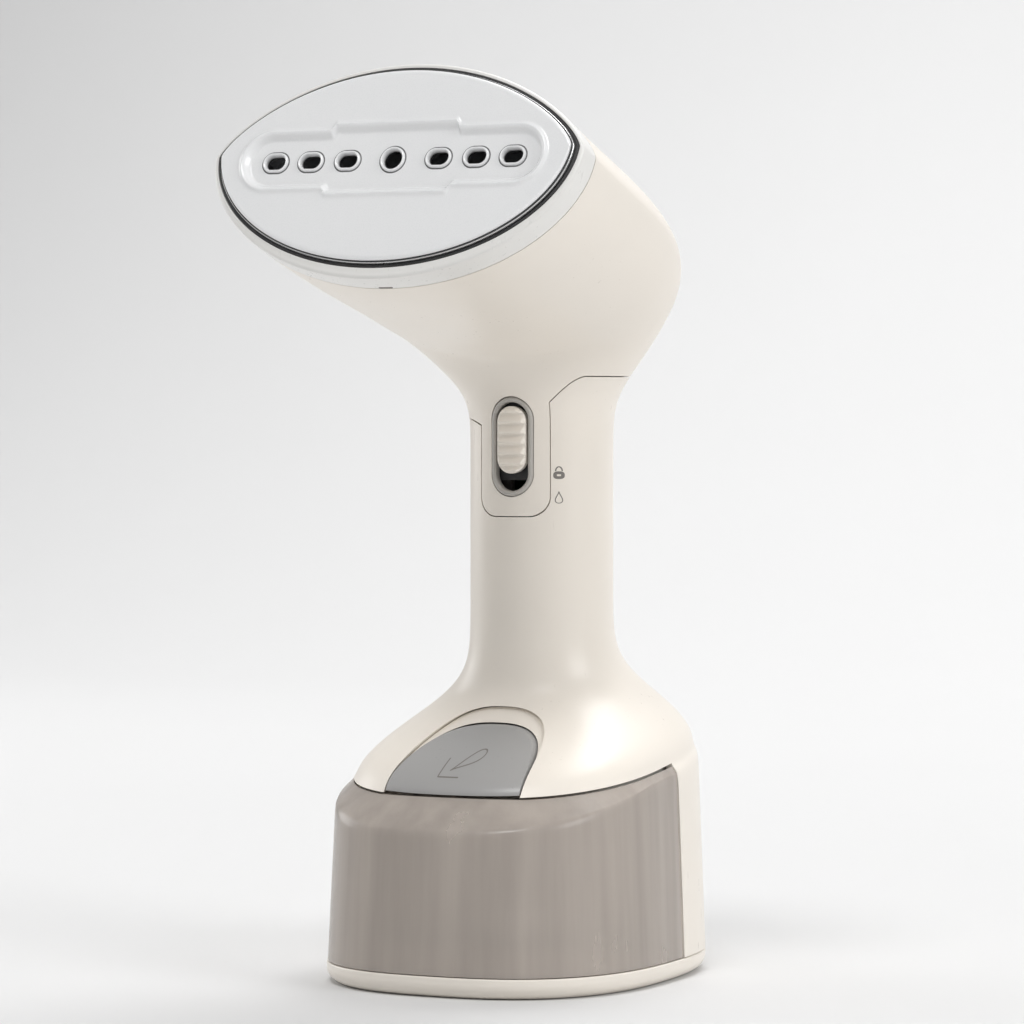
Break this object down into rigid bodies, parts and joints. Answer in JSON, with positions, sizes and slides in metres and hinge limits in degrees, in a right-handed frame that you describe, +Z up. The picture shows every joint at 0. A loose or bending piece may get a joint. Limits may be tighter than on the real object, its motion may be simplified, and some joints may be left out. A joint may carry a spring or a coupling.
{
  "type": "handheld garment steamer",
  "caption": "Handheld garment steamer with a tilted steam plate, slide switch, pump handle and a removable smoky water tank in its standing base.",
  "frame": {"origin": "middle of the footprint, on the surface that the base stands on", "axes": "+Z up along the handle, -Y the way the steam plate and the tank face, +X to the right of someone who faces the plate"},
  "size_m": [0.1162, 0.1592, 0.2658],
  "materials": {
    "cream_plastic": "satin warm white moulded plastic",
    "bezel_plastic": "satin cool white moulded plastic",
    "grey_plastic": "satin grey moulded plastic",
    "smoke_plastic": "clear smoky tank plastic",
    "plate_glaze": "glossy light ceramic glaze on metal",
    "cast_aluminium": "as cast",
    "steel": "bright",
    "rubber": "matte",
    "silicone": "milky silicone",
    "inner_plastic": "plain moulded",
    "black_plastic": "plain moulded",
    "board": "green board with black parts"
  },
  "bodies": {
    "body": {"anti_slip_pad_1": "rubber", "anti_slip_pad_2": "rubber", "anti_slip_pad_3": "rubber", "anti_slip_pad_4": "rubber", "base_tray": "cream_plastic", "bay_wall": "inner_plastic", "button_surround": "cream_plastic", "chamber_gasket": "silicone", "chamber_inlet": "steel", "clamp_screw_1": "steel", "clamp_screw_2": "steel", "clip_screw_1": "steel", "clip_screw_2": "steel", "control_board": "board", "cord_clamp": "inner_plastic", "cord_gland": "rubber", "feed_hose": "silicone", "fuse_clip": "steel", "head_bezel": "bezel_plastic", "head_shell": "cream_plastic", "heating_element": "steel", "intake_hose": "silicone", "main_housing": "cream_plastic", "micro_switch": "black_plastic", "plate_seal": "rubber", "pump_sleeve": "rubber", "release_spring": "steel", "spigot_seal": "rubber", "steam_chamber": "cast_aluminium", "steam_plate": "plate_glaze", "switch_bezel": "grey_plastic", "terminal_block": "black_plastic", "thermal_fuse": "silicone", "thermostat": "black_plastic", "tray_screw_1": "steel", "tray_screw_2": "steel", "tray_screw_3": "steel", "tray_screw_4": "steel", "water_pump": "black_plastic", "water_spigot": "inner_plastic"},
    "switch": {"slide_knob": "cream_plastic", "slide_carrier": "black_plastic"},
    "button": {"release_button": "grey_plastic"},
    "tank": {"tank_shell": "smoke_plastic", "tank_floor": "smoke_plastic", "tank_outlet": "grey_plastic", "tank_filter": "silicone"},
    "flap": {"filler_flap": "grey_plastic"}
  },
  "joints": [
    {"name": "switch_slide", "type": "slide", "parent": "body", "child": "switch", "axis": [0, 0, 1], "range_m": [-0.004, 0]},
    {"name": "button_press", "type": "slide", "parent": "body", "child": "button", "axis": [0, 1, 0], "range_m": [0, 0.0025], "stiffness_N_per_m": 600, "deforming": ["release_spring"]},
    {"name": "tank_removal", "type": "slide", "parent": "body", "child": "tank", "axis": [0, -1, 0], "range_m": [0, 0.13]},
    {"name": "flap_hinge", "type": "hinge", "parent": "tank", "child": "flap", "pos_m": [-0.0517, -0.006, 0.0234], "axis": [0, -1, 0], "range_deg": [0, 110]}
  ]
}
